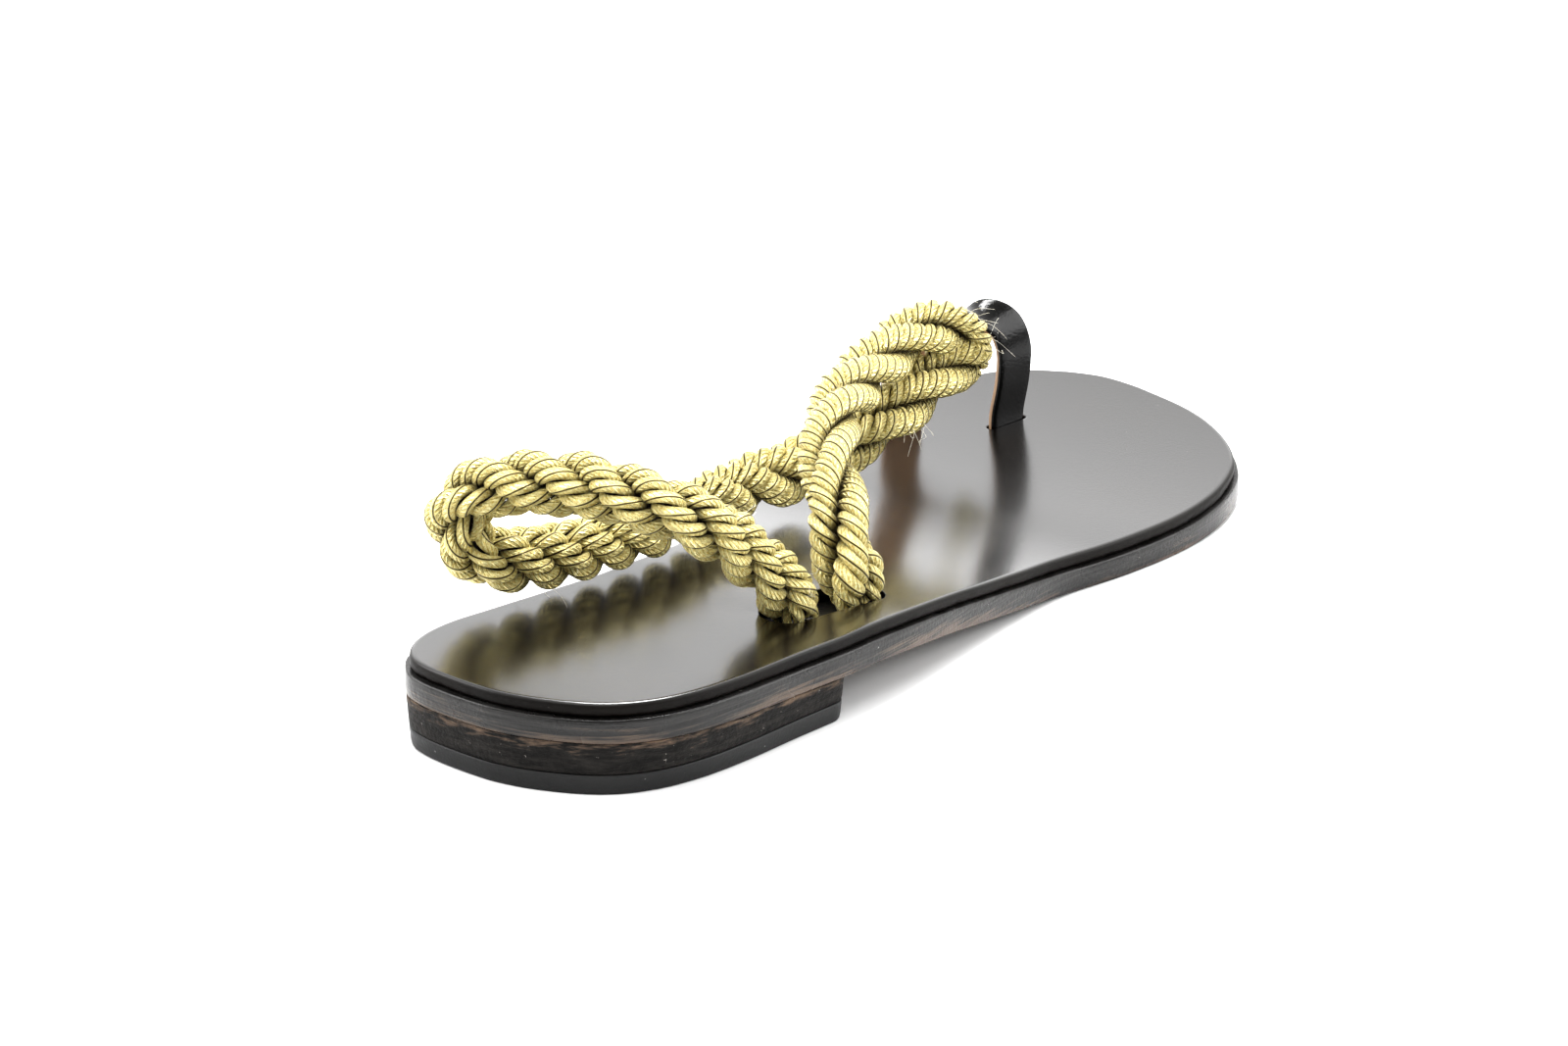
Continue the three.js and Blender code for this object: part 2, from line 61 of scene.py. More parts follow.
# along, across, above (share of the rise), girth, lay in millimetres
loopStrandRoute = np.array([
    (0.294, 0.249, 0.059, 0.84, 44), (0.269, 0.237, 0.291, 1.00, 42), (0.244, 0.211, 0.491, 1.02, 40),
    (0.215, 0.184, 0.691, 1.04, 39), (0.193, 0.131, 0.829, 1.05, 38), (0.177, 0.026, 0.918, 1.07, 37),
    (0.170, -0.097, 0.941, 1.08, 37), (0.157, -0.210, 0.924, 1.08, 37), (0.143, -0.317, 0.871, 1.07, 37),
    (0.132, -0.372, 0.781, 1.07, 36), (0.130, -0.400, 0.606, 1.07, 33), (0.138, -0.387, 0.429, 1.07, 31),
    (0.151, -0.340, 0.335, 1.07, 30), (0.184, -0.296, 0.291, 1.07, 30), (0.225, -0.262, 0.265, 1.06, 30),
    (0.267, -0.235, 0.259, 1.05, 31), (0.304, -0.212, 0.259, 1.04, 33), (0.351, -0.202, 0.262, 1.02, 37),
    (0.411, -0.223, 0.262, 1.00, 42), (0.475, -0.248, 0.274, 1.06, 48), (0.522, -0.240, 0.290, 1.13, 54),
    (0.559, -0.217, 0.330, 1.13, 60), (0.588, -0.178, 0.403, 1.08, 64), (0.622, -0.147, 0.494, 1.06, 68),
    (0.667, -0.135, 0.570, 1.09, 68), (0.724, -0.138, 0.626, 1.07, 68), (0.774, -0.148, 0.650, 1.02, 68),
    (0.804, -0.146, 0.640, 0.90, 66), (0.816, -0.162, 0.640, 0.74, 64)])
lateralStrandRoute = np.array([
    (0.361, 0.295, 0.046, 0.92, 78), (0.362, 0.278, 0.235, 1.06, 78), (0.370, 0.245, 0.441, 1.08, 78),
    (0.403, 0.165, 0.617, 1.06, 76), (0.452, 0.060, 0.765, 1.04, 74), (0.534, -0.057, 0.907, 1.02, 70),
    (0.623, -0.138, 0.945, 1.07, 68), (0.700, -0.178, 0.970, 1.06, 68), (0.758, -0.168, 0.965, 1.02, 68),
    (0.793, -0.142, 0.865, 0.94, 66), (0.809, -0.146, 0.720, 0.85, 66), (0.817, -0.162, 0.580, 0.74, 64)])
# along, across, above, turn of the strip's width in degrees
ringRoute = np.array([
    (0.8625, -0.122, 0.080, 72), (0.8650, -0.109, 0.420, 72), (0.8660, -0.110, 0.700, 70),
    (0.8620, -0.137, 0.900, 67), (0.8440, -0.195, 1.000, 63), (0.8240, -0.270, 0.930, 60),
    (0.8060, -0.325, 0.730, 57), (0.7990, -0.346, 0.430, 55), (0.7980, -0.338, 0.080, 55)])


# Curves of the sole

def angleOf(share):
    # place on the outline as an angle: acos(1 - 2 share), 0 at the heel and pi at the toe
    return np.arccos(np.clip(1 - 2 * np.asarray(share, float), -1, 1))


def shareAt(angle):
    # share = (1 - cos(angle)) / 2
    return (1 - np.cos(angle)) / 2


def tableValue(places, values, x):
    # Catmull-Rom through the table: b + t/2 (c - a + t (2a - 5b + 4c - d + t (3b - a - 3c + d)))
    i = np.clip(np.searchsorted(places, x, side="left") - 1, 0, len(places) - 2)
    a, b = values[np.maximum(i - 1, 0)], values[i]
    c, d = values[i + 1], values[np.minimum(i + 2, len(places) - 1)]
    t = np.clip((x - places[i]) / (places[i + 1] - places[i]), 0, 1)
    return b + 0.5 * t * (c - a + t * (2 * a - 5 * b + 4 * c - d + t * (3 * b - a - 3 * c + d)))


def halfWidth(side, y):
    # width from the centre line on one side, side 1 lateral, 2 medial
    share = tableValue(angleOf(outline[:, 0]), outline[:, side], angleOf(y / sandal["length"]))
    return sandal["width"] * share


def undersideAt(y):
    # heel seat: a straight fall; waist: half a cosine; then flat, then toe spring as a square
    y = np.asarray(y, float)
    seat = sandal["heelRear"] + (sandal["heelBreast"] - sandal["heelRear"]) * y / sandal["heelLength"]
    fall = (y - sandal["heelLength"]) / (sandal["treadStart"] - sandal["heelLength"])
    waist = sandal["heelBreast"] * (0.5 + 0.5 * np.cos(np.pi * np.clip(fall, 0, 1)))
    rise = np.maximum(y - sandal["springStart"], 0) / (sandal["length"] - sandal["springStart"])
    return np.where(y < sandal["heelLength"], seat, waist) + sandal["toeSpring"] * rise ** 2


def footbedTopAt(y):
    return undersideAt(y) + soleThickness


# the frame's origin lies under the middle of the whole sandal
cornerLow = np.array(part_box("footbed")[0]) / mm
ringShares = shareAt(np.linspace(0, np.pi, 39))
shift = np.array([cornerLow[0] + halfWidth(2, ringShares * sandal["length"]).max(), cornerLow[1], 0.0])
print("sandal shift in mm:", shift.round(3))


# Mesh helpers

def setMesh(name, points, quads, tris):
    # points in millimetres of the sandal's own axes; quads and tris are index arrays
    mesh = bpy.data.meshes.new(name)
    placed = (np.asarray(points, float) + shift) * mm
    loops = np.concatenate([quads.ravel(), tris.ravel()])
    sizes = np.concatenate([np.full(len(quads), 4), np.full(len(tris), 3)])
    mesh.vertices.add(len(placed))
    mesh.vertices.foreach_set("co", placed.astype(np.float32).ravel())
    mesh.loops.add(len(loops))
    mesh.loops.foreach_set("vertex_index", loops.astype(np.int32))
    mesh.polygons.add(len(sizes))
    starts = np.concatenate([[0], np.cumsum(sizes)[:-1]])
    mesh.polygons.foreach_set("loop_start", starts.astype(np.int32))
    mesh.polygons.foreach_set("use_smooth", np.full(len(sizes), True))
    mesh.update(calc_edges=True)
    mesh.validate()
    piece = bpy.data.objects.new(name, mesh)
    bpy.context.scene.collection.objects.link(piece)
    return piece


def setAttribute(piece, name, values):
    layer = piece.data.attributes.new(name, "FLOAT", "POINT")
    layer.data.foreach_set("value", np.asarray(values, np.float32).ravel())


def setUv(piece, around, along):
    # a UV pair for each vertex, spread to the face corners
    corners = np.empty(len(piece.data.loops), np.int32)
    piece.data.loops.foreach_get("vertex_index", corners)
    layer = piece.data.uv_layers.new(name="lay")
    pairs = np.stack([np.asarray(around)[corners], np.asarray(along)[corners]], 1)
    layer.data.foreach_set("uv", pairs.astype(np.float32).ravel())


def stripQuads(rows, columns):
    # quads of a grid of rows by columns, closed round the columns
    k = np.arange(rows - 1)[:, None] * columns
    i = np.arange(columns)[None, :]
    j = (i + 1) % columns
    return np.stack([k + i, k + j, k + columns + j, k + columns + i], -1).reshape(-1, 4)


def softNoise(x, seed, waves=5):
    # a sum of sines with falling size: smooth, repeatable unevenness between about -1 and 1
    rng = np.random.default_rng(seed)
    total = np.zeros_like(np.asarray(x, float))
    for n in range(waves):
        total += np.sin(x * (1.0 + n * 0.83) + rng.uniform(0, 2 * np.pi)) / (1 + 0.6 * n)
    return total / 2.2


# Plan outlines

def planRing(ys, cornered):
    # heel tip, up the medial side, toe tip, and back down the lateral side
    wide = [halfWidth(side, ys) for side in (1, 2)]
    if cornered:    # the heel's breast corners: width less r - sqrt(r^2 - d^2)
        past = np.maximum(ys - (sandal["heelLength"] - sandal["heelCorner"]), 0)
        cut = sandal["heelCorner"] - np.sqrt(np.maximum(sandal["heelCorner"] ** 2 - past ** 2, 0))
        wide = [w - cut for w in wide]
    tip = np.array([[(wide[0][0] - wide[1][0]) / 2, ys[0]]])
    last = slice(1, None) if cornered else slice(1, -1)
    medial = np.stack([-wide[1][last], ys[last]], 1)
    lateral = np.stack([wide[0][last], ys[last]], 1)[::-1]
    if cornered:
        return np.vstack([tip, medial, lateral])
    toe = np.array([[(wide[0][-1] - wide[1][-1]) / 2, ys[-1]]])
    return np.vstack([tip, medial, toe, lateral])


def evenRing(ring, step):
    # the closed ring again, with points at even distances
    closed = np.vstack([ring, ring[:1]])
    along = np.concatenate([[0], np.cumsum(np.linalg.norm(np.diff(closed, axis=0), axis=1))])
    places = np.linspace(0, along[-1], int(round(along[-1] / step)) + 1)[:-1]
    return np.stack([np.interp(places, along, closed[:, c]) for c in (0, 1)], 1)


def grown(ring, grow):
    # ring + grow * outward normal; the ring runs clockwise seen from above
    step = np.roll(ring, -1, axis=0) - np.roll(ring, 1, axis=0)
    normal = np.stack([-step[:, 1], step[:, 0]], 1)
    return ring + normal / np.linalg.norm(normal, axis=1)[:, None] * np.asarray(grow).reshape(-1, 1)


fineYs = sandal["length"] * shareAt(np.linspace(0, np.pi, 400))
soleStep, heelStep = 1.1, 0.9    # millimetres between the points of each outline
soleRing = evenRing(planRing(fineYs, False), soleStep)
heelStraight = sandal["heelLength"] - sandal["heelCorner"]
heelYs = np.concatenate([
    heelStraight * 2 * shareAt(np.linspace(0, np.pi / 2, 120)),
    heelStraight + sandal["heelCorner"] * np.sin(np.linspace(0, np.pi / 2, 12))[1:]])
heelRing = evenRing(planRing(heelYs, True), heelStep)


def inside(points, ring):
    # crossing count of a ray along +x against the ring's sides
    a, b = ring, np.roll(ring, -1, axis=0)
    y = points[:, 1][:, None]
    spans = (a[None, :, 1] > y) != (b[None, :, 1] > y)
    rise = np.where(b[:, 1] == a[:, 1], 1e-9, b[:, 1] - a[:, 1])
    at = a[None, :, 0] + (y - a[None, :, 1]) * (b[:, 0] - a[:, 0])[None] / rise[None]
    return (spans & (at > points[:, 0][:, None])).sum(1) % 2 == 1


def planFill(outer, holes, spacing, margin):
    # Delaunay triangles between the outer ring and the holes, over an even field of points, facing up
    low, high = outer.min(0), outer.max(0)
    xs, ys = np.meshgrid(np.arange(low[0], high[0], spacing), np.arange(low[1], high[1], spacing))
    field = np.stack([xs.ravel() + (np.round(ys.ravel() / spacing) % 2) * spacing / 2, ys.ravel()], 1)
    keep = inside(field, grown(outer, -margin))
    for hole in holes:
        keep &= ~inside(field, grown(hole, margin))
    field = field[keep]
    rings = [outer] + holes
    points = np.vstack(rings + [field])
    edges = []
    start = 0
    for ring in rings:
        n = np.arange(len(ring))
        edges += np.stack([start + n, start + (n + 1) % len(ring)], 1).tolist()
        start += len(ring)
    found = delaunay_2d_cdt([Vector(p) for p in points], edges, [], 0, 1e-7)
    faces = np.array([f for f in found[2] if len(f) == 3])
    places = np.array([tuple(v) for v in found[0]])
    middles = places[faces].mean(1)
    keep = inside(middles, outer)
    for hole in holes:
        keep &= ~inside(middles, hole)
    faces = faces[keep]
    a, b, c = places[faces[0]]
    facesUp = (b[0] - a[0]) * (c[1] - a[1]) > (b[1] - a[1]) * (c[0] - a[0])
    return places, faces if facesUp else faces[:, ::-1]


# The slots in the footbed

slotSizes = dict(rope=13.6, clearance=0.12, spare=1.6, stripWidth=9.4, stripThickness=2.4, lip=0.15)


def planOf(row):
    return np.array([row[1] * sandal["width"], row[0] * sandal["length"]])


def stadium(start, end, width, spare, count=64):
    # a slot's outline, clockwise: two half circles of radius width/2 joined by straight sides
    along = (end - start) / np.linalg.norm(end - start)
    half = np.linalg.norm(end - start) / 2 + spare - width / 2
    angle = -np.linspace(0, 2 * np.pi, count, endpoint=False)
    reach = np.where(np.cos(angle) >= 0, half, -half)
    local = np.stack([reach + width / 2 * np.cos(angle), width / 2 * np.sin(angle)], 1)
    side = np.array([-along[1], along[0]])
    return evenRing((start + end) / 2 + local[:, :1] * along + local[:, 1:] * side, 0.7)


def ropeSlot(first, second):
    width = slotSizes["rope"] * max(first[3], second[3]) + 2 * slotSizes["clearance"]
    return stadium(planOf(first), planOf(second), width, width / 2 + slotSizes["spare"])


def ringSlot(row):
    turn = np.radians(row[3])
    reach = np.array([np.cos(turn), np.sin(turn)]) * slotSizes["stripWidth"] / 2
    width = slotSizes["stripThickness"] + 2 * slotSizes["clearance"]
    return stadium(planOf(row) - reach, planOf(row) + reach, width, width / 2)


slots = [ropeSlot(loopStrandRoute[0], lateralStrandRoute[0]), ringSlot(ringRoute[0]), ringSlot(ringRoute[-1])]


# Sole pieces

def footbedPiece():
    # top and bottom fills joined by rounded edges: grow = r (cos a - 1), z = top - r (1 - sin a)
    radius, collar = 1.15, 0.4    # a flat collar before each rounding keeps the gloss even up to the edge
    rimRing = grown(soleRing, -radius - collar)
    lipRings = [grown(slot, slotSizes["lip"] + collar) for slot in slots]
    places, faces = planFill(rimRing, lipRings, 3.2, 1.4)
    rim = len(rimRing)
    top = np.column_stack([places, footbedTopAt(places[:, 1])])
    bottom = np.column_stack([places, footbedTopAt(places[:, 1]) - sandal["footbed"]])
    points, quads, counts = [top], [], len(top)
    along = np.arange(rim) * soleStep
    # the rim is cut and worn by hand: slow waves of 0.16 mm and quick ones of 0.07 mm
    wave = softNoise(along * 0.35, 4) * 0.16 + softNoise(along * 1.3, 5) * 0.07
    previous = np.arange(rim)
    for n, angle in enumerate(np.linspace(np.pi / 2, 0, 6)):
        ring = grown(soleRing, radius * (np.cos(angle) - 1) + 0.12 * wave * n / 5)
        height = footbedTopAt(ring[:, 1]) - radius * (1 - np.sin(angle))
        previous, counts = addBand(points, quads, counts, previous, ring, height)
    for share, inward in ((0.75, 0.0), (1.0, -0.35)):   # the cut lower edge, worn and uneven
        ring = grown(soleRing, inward + 0.8 * wave * share)
        height = footbedTopAt(ring[:, 1]) - sandal["footbed"] * share + 0.5 * np.abs(wave) * share
        previous, counts = addBand(points, quads, counts, previous, ring, height)
    n = np.arange(rim)
    quads.append(np.stack([previous, previous[(n + 1) % rim], counts + (n + 1) % rim, counts + n], 1))
    tris = np.vstack([faces, faces[:, ::-1] + counts])
    points.append(bottom)
    low = counts
    counts += len(bottom)
    start = rim
    for slot in slots:
        size = len(slot)
        previous = start + np.arange(size)
        for angle in np.linspace(np.pi / 2, 0, 4):
            ring = grown(slot, slotSizes["lip"] * (1 - np.cos(angle)))
            height = footbedTopAt(ring[:, 1]) - slotSizes["lip"] * (1 - np.sin(angle))
            previous, counts = addBand(points, quads, counts, previous, ring, height, True)
        foot = footbedTopAt(slot[:, 1]) - sandal["footbed"]
        previous, counts = addBand(points, quads, counts, previous, slot, foot, True)
        n = np.arange(size)
        under = low + start + n
        quads.append(np.stack([previous, under, under[(n + 1) % size], previous[(n + 1) % size]], 1))
        start += size
    points = np.vstack(points)
    piece = setMesh("footbed_leather", points, np.vstack(quads), tris)
    below = footbedTopAt(points[:, 1]) - points[:, 2]
    setAttribute(piece, "edge", np.clip((below - 0.06) / 0.25, 0, 1))    # 0 on the top, 1 down the edges
    return piece


def addBand(points, quads, counts, previous, ring, height, inner=False):
    # one more ring of points and the quads that join it to the one before
    size = len(ring)
    points.append(np.column_stack([ring, height]))
    n = np.arange(size)
    here = counts + n
    band = np.stack([previous, here, here[(n + 1) % size], previous[(n + 1) % size]], 1)
    quads.append(band if inner else band[:, ::-1])
    return here, counts + size


def layerPiece(name, ring, levels, spacing=4.0):
    # a closed layer: rings (grow, height, band) stacked from the underside to the top, with filled ends
    fillRing = grown(ring, levels[0][0])
    places, faces = planFill(fillRing, [], spacing, spacing * 0.5)
    size = len(ring)
    bottom = np.column_stack([places, levels[0][1](places[:, 1])])
    points, bands = [bottom], [np.full(len(bottom), levels[0][2])]
    quads, counts = [], len(bottom)
    previous = np.arange(size)
    n = np.arange(size)
    for grow, heightAt, band in levels[1:]:
        outer = grown(ring, grow)
        points.append(np.column_stack([outer, heightAt(outer[:, 1])]))
        bands.append(np.full(size, band))
        here = counts + n
        quads.append(np.stack([previous, here, here[(n + 1) % size], previous[(n + 1) % size]], 1))
        previous, counts = here, counts + size
    topPlaces = places.copy()
    topPlaces[:size] = grown(ring, levels[-1][0] - 0.4)
    points.append(np.column_stack([topPlaces, levels[-1][1](topPlaces[:, 1])]))
    bands.append(np.full(len(topPlaces), levels[-1][2]))
    quads.append(np.stack([previous, counts + n, counts + (n + 1) % size, previous[(n + 1) % size]], 1))
    tris = np.vstack([faces[:, ::-1], faces + counts])
    piece = setMesh(name, np.vstack(points), np.vstack(quads), tris)
    setAttribute(piece, "band", np.concatenate(bands))
    return piece


def outsolePiece():
    lip, low, high = sandal["lip"], 0.35, 0.45    # low and high: radii of the two rounded edges
    levels = [(lip - low, undersideAt, 0.0)]
    for angle in np.linspace(-np.pi / 2, 0, 6)[1:]:
        levels.append((lip - low * (1 - np.cos(angle)),
                       lambda y, a=angle: undersideAt(y) + low * (1 + np.sin(a)),
                       low * (1 + np.sin(angle)) / sandal["outsole"]))
    for share in np.linspace(0.25, 0.86, 9):
        bulge = 0.10 * np.sin(np.pi * share)
        levels.append((lip + bulge, lambda y, s=share: undersideAt(y) + sandal["outsole"] * s, share))
    for angle in np.linspace(0, np.pi / 2, 6)[1:]:
        levels.append((lip - high * (1 - np.cos(angle)),
                       lambda y, a=angle: undersideAt(y) + sandal["outsole"] - high * (1 - np.sin(a)),
                       0.9 + 0.1 * np.sin(angle)))
    return layerPiece("outsole_leather", soleRing, levels)


def heelLiftPiece():
    lip, taper = sandal["lip"], sandal["heelTaper"]
    low = sandal["topPiece"] + sandal["gap"]
    levels = [(lip - taper / 2 - 0.15, lambda y: low + 0 * y, 0.0)]
    for share in np.linspace(0, 1, 12):
        edge = 0.15 * max(0, 1 - share * 9)
        levels.append((lip - taper / 2 * (1 - share) - edge * 0.6,
                       lambda y, s=share: low + (undersideAt(y) - 0.02 - low) * (0.02 + 0.98 * s), share))
    return layerPiece("heel_lift_leather", heelRing, levels)


def topPiecePiece():
    lip, taper, chamfer = sandal["lip"], sandal["heelTaper"], 0.7
    levels = [(lip - taper - chamfer, lambda y: 0 * y, 0.0)]
    for angle in np.linspace(-np.pi / 2, 0, 5)[1:]:
        levels.append((lip - taper - chamfer * (1 - np.cos(angle)),
                       lambda y, a=angle: chamfer * (1 + np.sin(a)) + 0 * y, 0.1))
    for share in np.linspace(0.3, 1, 8):
        edge = 0.12 * max(0, 1 - (1 - share) * 8)
        levels.append((lip - taper * (1 - share / 2) - edge,
                       lambda y, s=share: sandal["topPiece"] * s + 0 * y, share))
    return layerPiece("heel_top_rubber", heelRing, levels)


# Rope and ring

rope = dict(diameter=13.6, rise=34.0, loopPhase=0.9, lateralPhase=0.6,
            cords=3, cordLay=10.0, cordShare=0.42, cordReach=1.06, cordSquash=0.96,
            cordSides=10, cordStep=0.5, splay=0.24, slotPlace=6.5, slotSpread=4.0, bightSpread=7.0)
ring = dict(rise=28.4, width=9.8, thickness=2.6, step=0.8, sides=72)


def routeCurve(rows, rise, slotAtEnd, step):
    # centripetal Catmull-Rom through the rows, from the bottom of the slot, at even distances
    def spot(row, height):
        return np.array([*planOf(row), height])
    floorGap = 0.9
    points = [spot(rows[0], footbedTopAt(planOf(rows[0])[1]) - sandal["footbed"] + floorGap)]
    points += [spot(row, footbedTopAt(planOf(row)[1]) + row[2] * rise) for row in rows]
    columns = np.vstack([rows[:1, 3:], rows[:, 3:]])
    if slotAtEnd:
        points.append(spot(rows[-1], footbedTopAt(planOf(rows[-1])[1]) - sandal["footbed"] + floorGap))
        columns = np.vstack([columns, rows[-1:, 3:]])
    p = np.array(points)
    p = np.vstack([2 * p[0] - p[1], p, 2 * p[-1] - p[-2]])
    a, b, c, d = p[:-3], p[1:-2], p[2:-1], p[3:]
    d0, d1, d2 = (np.sqrt(np.linalg.norm(q, axis=1))[:, None] for q in (b - a, c - b, d - c))
    m1 = ((b - a) / d0 - (c - a) / (d0 + d1) + (c - b) / d1) * d1
    m2 = ((c - b) / d1 - (d - b) / (d1 + d2) + (d - c) / d2) * d1
    t = np.linspace(0, 1, 60, endpoint=False)[None, :, None]
    b, c, m1, m2 = (q[:, None, :] for q in (b, c, m1, m2))
    path = b + m1 * t + (3 * (c - b) - 2 * m1 - m2) * t ** 2 + (2 * (b - c) + m1 + m2) * t ** 3
    place = (np.arange(len(path))[:, None] + t[0, :, 0][None]).ravel()
    path = np.vstack([path.reshape(-1, 3), points[-1]])
    place = np.append(place, len(points) - 1)
    along = np.concatenate([[0], np.cumsum(np.linalg.norm(np.diff(path, axis=0), axis=1))])
    even = np.linspace(0, along[-1], int(round(along[-1] / step)) + 1)
    centre = np.stack([np.interp(even, along, path[:, k]) for k in range(3)], 1)
    at = np.interp(even, along, place)
    return centre, even, [np.interp(at, np.arange(len(columns)), column) for column in columns.T]


def unit(v):
    return v / np.linalg.norm(v, axis=-1, keepdims=True)


def crossFrame(centre):
    # tangent, a normal carried along without twisting, and their cross product
    tangent = unit(np.gradient(centre, axis=0))
    normal = np.empty_like(tangent)
    carried = np.array([1.0, 0, 0])
    for k, t in enumerate(tangent):
        carried = carried - carried.dot(t) * t
        carried /= np.linalg.norm(carried)
        normal[k] = carried
    return tangent, normal, np.cross(tangent, normal)


def endFans(rows, sides):
    # triangles from the two end middles, which follow the grid's points, to the first and last row
    i = np.arange(sides)
    j = (i + 1) % sides
    first = np.stack([np.full(sides, rows * sides), j, i], 1)
    last = np.stack([np.full(sides, rows * sides + 1), (rows - 1) * sides + i, (rows - 1) * sides + j], 1)
    return np.vstack([first, last])


def tube(centre, outward, radius, squash, sides):
    # ring points: centre + r (cos a / squash) outward + r sin a sideways
    tangent = unit(np.gradient(centre, axis=0))
    outward = unit(outward - (outward * tangent).sum(1, keepdims=True) * tangent)
    side = np.cross(tangent, outward)
    angle = np.linspace(0, 2 * np.pi, sides, endpoint=False)
    radius = np.asarray(radius).reshape(-1, 1, 1)
    points = (centre[:, None] + radius * np.cos(angle)[None, :, None] * outward[:, None] * squash
              + radius * np.sin(angle)[None, :, None] * side[:, None])
    rows = len(centre)
    quads = stripQuads(rows, sides)
    flat = points.reshape(-1, 3)
    around = np.concatenate([np.tile(angle / (2 * np.pi), rows), [0, 0]])
    return np.vstack([flat, centre[:1], centre[-1:]]), quads, endFans(rows, sides), around


def strandParts(rows, phase, seed):
    # three plies on a helix of the rope, each of three cords on a tighter helix the other way
    centre, along, (girth, lay) = routeCurve(rows, rope["rise"], False, 0.5)
    # plies spread over the slot, and half as much in the bight: 1 + splay exp(-(distance / spread)^2)
    atSlot = np.exp(-((along - rope["slotPlace"]) / rope["slotSpread"]) ** 2)
    atBight = np.exp(-((along[-1] - along) / rope["bightSpread"]) ** 2)
    girth = girth * (1 + rope["splay"] * atSlot + 0.5 * rope["splay"] * atBight)
    tangent, normal, side = crossFrame(centre)
    twist = phase + 2 * np.pi * np.concatenate([[0], np.cumsum(np.diff(along) / lay[1:])])
    plyRadius = rope["diameter"] / 2 / (1 + 2 / np.sqrt(3))
    plyOrbit = rope["diameter"] / 2 - plyRadius
    parts = []
    rng = np.random.default_rng(seed)
    for ply in range(3):
        turn = twist + 2 * np.pi * ply / 3
        swell = 1 + 0.035 * softNoise(along * 0.21, seed + ply)
        out = normal * np.cos(turn)[:, None] + side * np.sin(turn)[:, None]
        plyCentre = centre + out * (plyOrbit * girth * swell)[:, None]
        plyTangent = unit(np.gradient(plyCentre, axis=0))
        plyOut = unit(out - (out * plyTangent).sum(1, keepdims=True) * plyTangent)
        plySide = np.cross(plyTangent, plyOut)
        plyAlong = np.concatenate([[0], np.cumsum(np.linalg.norm(np.diff(plyCentre, axis=0), axis=1))])
        cordRadius = plyRadius * rope["cordShare"]
        cordOrbit = plyRadius * rope["cordReach"] - cordRadius
        fine = np.linspace(0, plyAlong[-1], int(plyAlong[-1] / rope["cordStep"]) + 1)

        def fineOf(values):
            return np.stack([np.interp(fine, plyAlong, values[:, k]) for k in range(3)], 1)
        middle, outward, sideways = fineOf(plyCentre), fineOf(plyOut), fineOf(plySide)
        axis = fineOf(centre)
        size = np.interp(fine, plyAlong, girth * swell)
        start = rng.uniform(0, 2 * np.pi)
        drift = 0.25 * softNoise(fine * 0.13, seed * 7 + ply)
        for cord in range(rope["cords"]):
            spin = start + drift - 2 * np.pi * (fine / rope["cordLay"] - cord / rope["cords"])
            bulge = 1 + 0.05 * softNoise(fine * 0.55, seed * 11 + ply * 5 + cord)
            reach = outward * np.cos(spin)[:, None] + sideways * np.sin(spin)[:, None]
            path = middle + reach * (cordOrbit * size)[:, None]
            radius = cordRadius * size * bulge
            points, quads, tris, around = tube(path, reach, radius, rope["cordSquash"], rope["cordSides"])
            cordAlong = np.concatenate([[0], np.cumsum(np.linalg.norm(np.diff(path, axis=0), axis=1))])
            run = np.concatenate([np.repeat(cordAlong, rope["cordSides"]), [0, cordAlong[-1]]])
            # depth: 1 at the rope's outside, 0 at its axis; the rope's material paints a crease shade where it
            # is low
            axisPoints = np.vstack([np.repeat(axis, rope["cordSides"], axis=0), axis[:1], axis[-1:]])
            sizes = np.concatenate([np.repeat(size, rope["cordSides"]), size[:1], size[-1:]])
            depth = np.linalg.norm(points - axisPoints, axis=1) / (sizes * rope["diameter"] / 2)
            parts.append((points, quads, tris, around, run + 37.0 * (ply * 5 + cord), depth))
    return parts


def joined(name, parts):
    # one mesh of many tubes, each given as points, quads, triangles, and around, run and depth of its points
    points, quads, tris, around, run, depth = zip(*parts)
    starts = np.cumsum([0] + [len(p) for p in points[:-1]])
    quads = np.vstack([faces + start for faces, start in zip(quads, starts)])
    tris = np.vstack([faces + start for faces, start in zip(tris, starts)])
    piece = setMesh(name, np.vstack(points), quads, tris)
    setUv(piece, np.concatenate(around), np.concatenate(run))
    setAttribute(piece, "depth", np.concatenate(depth))
    return piece


def ringPiece():
    # a flat strip with rounded long edges, its profile a superellipse |x|^n + |y|^n = 1
    centre, along, (turn,) = routeCurve(ringRoute, ring["rise"], True, ring["step"])
    tangent = unit(np.gradient(centre, axis=0))
    across = np.stack([np.cos(np.radians(turn)), np.sin(np.radians(turn)), 0 * turn], 1)
    across = unit(across - (across * tangent).sum(1, keepdims=True) * tangent)
    out = np.cross(tangent, across)
    angle = np.linspace(0, 2 * np.pi, ring["sides"], endpoint=False)
    flat = np.sign(np.cos(angle)) * np.abs(np.cos(angle)) ** 0.28 * ring["width"] / 2
    thick = np.sign(np.sin(angle)) * np.abs(np.sin(angle)) ** 0.42 * ring["thickness"] / 2
    points = (centre[:, None] + across[:, None] * flat[None, :, None] + out[:, None] * thick[None, :, None])
    rows = len(centre)
    points = np.vstack([points.reshape(-1, 3), centre[:1], centre[-1:]])
    piece = setMesh("toe_ring_strip", points, stripQuads(rows, ring["sides"]), endFans(rows, ring["sides"]))
    setAttribute(piece, "flesh", np.append(np.tile(-thick / (ring["thickness"] / 2), rows), [0, 0]))
    return piece


